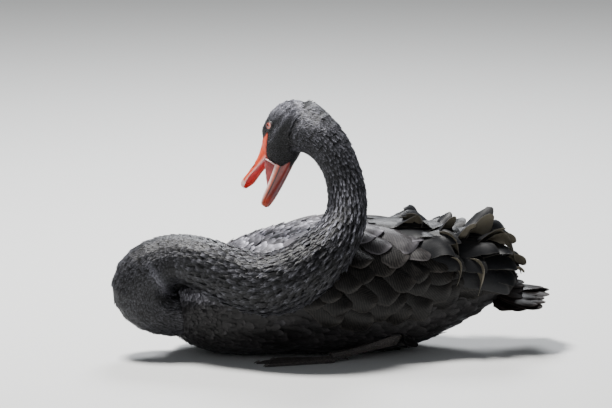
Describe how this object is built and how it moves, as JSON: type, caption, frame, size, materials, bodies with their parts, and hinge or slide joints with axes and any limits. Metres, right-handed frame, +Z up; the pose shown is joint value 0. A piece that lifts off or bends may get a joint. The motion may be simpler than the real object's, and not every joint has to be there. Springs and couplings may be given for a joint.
{
  "type": "black swan",
  "caption": "Life-size resting black swan with its long neck laid back over the left shoulder, wings folded and red bill open.",
  "frame": {"origin": "middle of the flat of the belly, on the floor", "axes": "+Z up, the bird faces -X, its left side is towards -Y"},
  "size_m": [0.6212, 0.2767, 0.3623],
  "materials": {
    "plumage": "matte charcoal-black body feathers with a soft cool sheen",
    "wing_feathers": "brown-black flight and tail feathers, slightly glossy",
    "bill": "coral-red horn with a soft shine",
    "eye": "wet, glossy, red iris and black pupil",
    "mouth": "moist pink tongue",
    "leg": "dark scaled skin"
  },
  "bodies": {
    "root": {"bill_lower": "bill", "bill_upper": "bill", "eye_left": "eye", "eye_right": "eye", "head": "plumage", "leg_left": "leg", "leg_right": "leg", "neck_crook": "plumage", "neck_fold": "plumage", "neck_rise": "plumage", "neck_root": "plumage", "neck_shoulder": "plumage", "tail": "wing_feathers", "tongue": "mouth", "torso": "plumage", "wing_left": "wing_feathers", "wing_right": "wing_feathers"}
  },
  "joints": []
}
